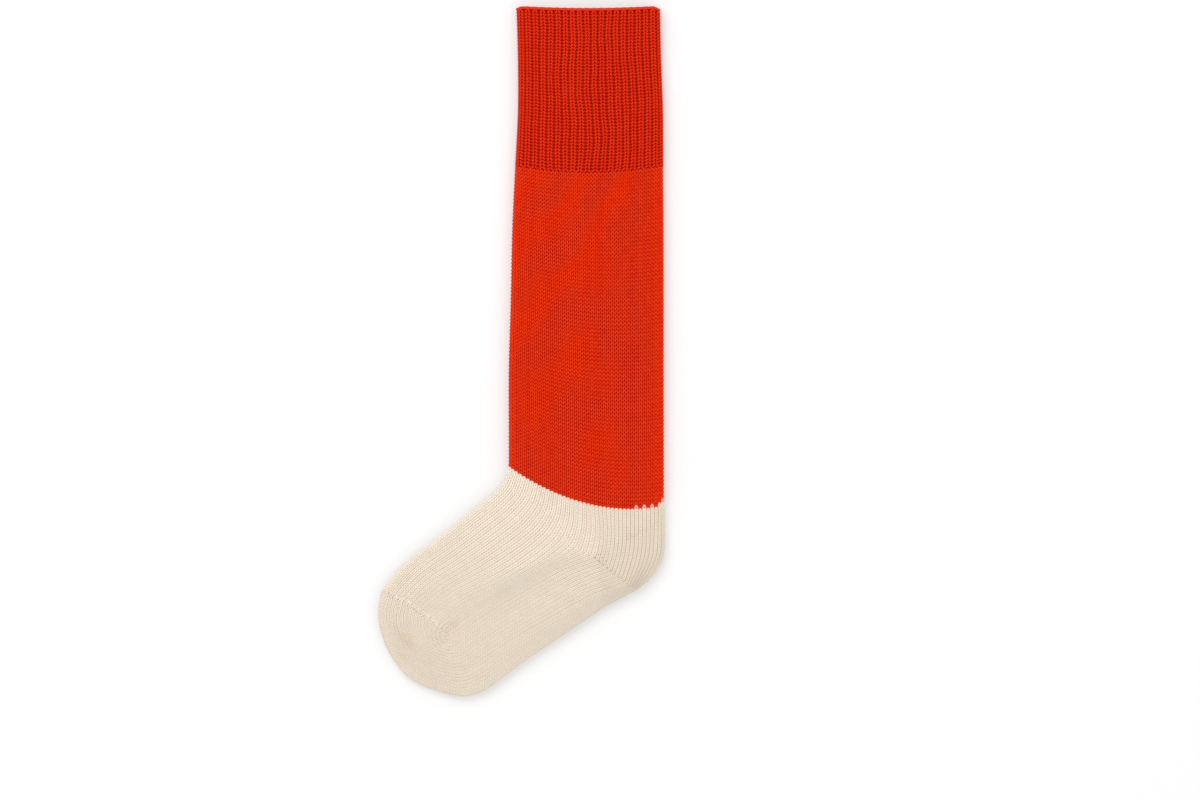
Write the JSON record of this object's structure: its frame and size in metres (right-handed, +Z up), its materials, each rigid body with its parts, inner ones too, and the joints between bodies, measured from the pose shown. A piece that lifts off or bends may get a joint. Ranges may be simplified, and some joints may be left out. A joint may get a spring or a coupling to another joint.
{
  "type": "rugby sock",
  "caption": "Knee-length knitted sports sock lying flat on its side, with a ribbed cuff open at its mouth, a tubular leg, a foot with a heel pocket and a closed toe.",
  "frame": {"origin": "centre of the sock's box, on the surface that it lies on", "axes": "+Y runs up the leg towards the mouth, +X from the shin side to the calf side, +Z up from the surface that it lies on"},
  "size_m": [0.2008, 0.4832, 0.0159],
  "materials": {
    "rib_red_yarn": "matt knitted yarn in 1x1 rib",
    "red_yarn": "matt plain knit",
    "cream_yarn": "matt plain knit"
  },
  "bodies": {
    "root": {"ribbed_cuff": "rib_red_yarn", "leg": "red_yarn", "foot": "cream_yarn", "heel": "cream_yarn", "toe": "cream_yarn"}
  },
  "joints": []
}
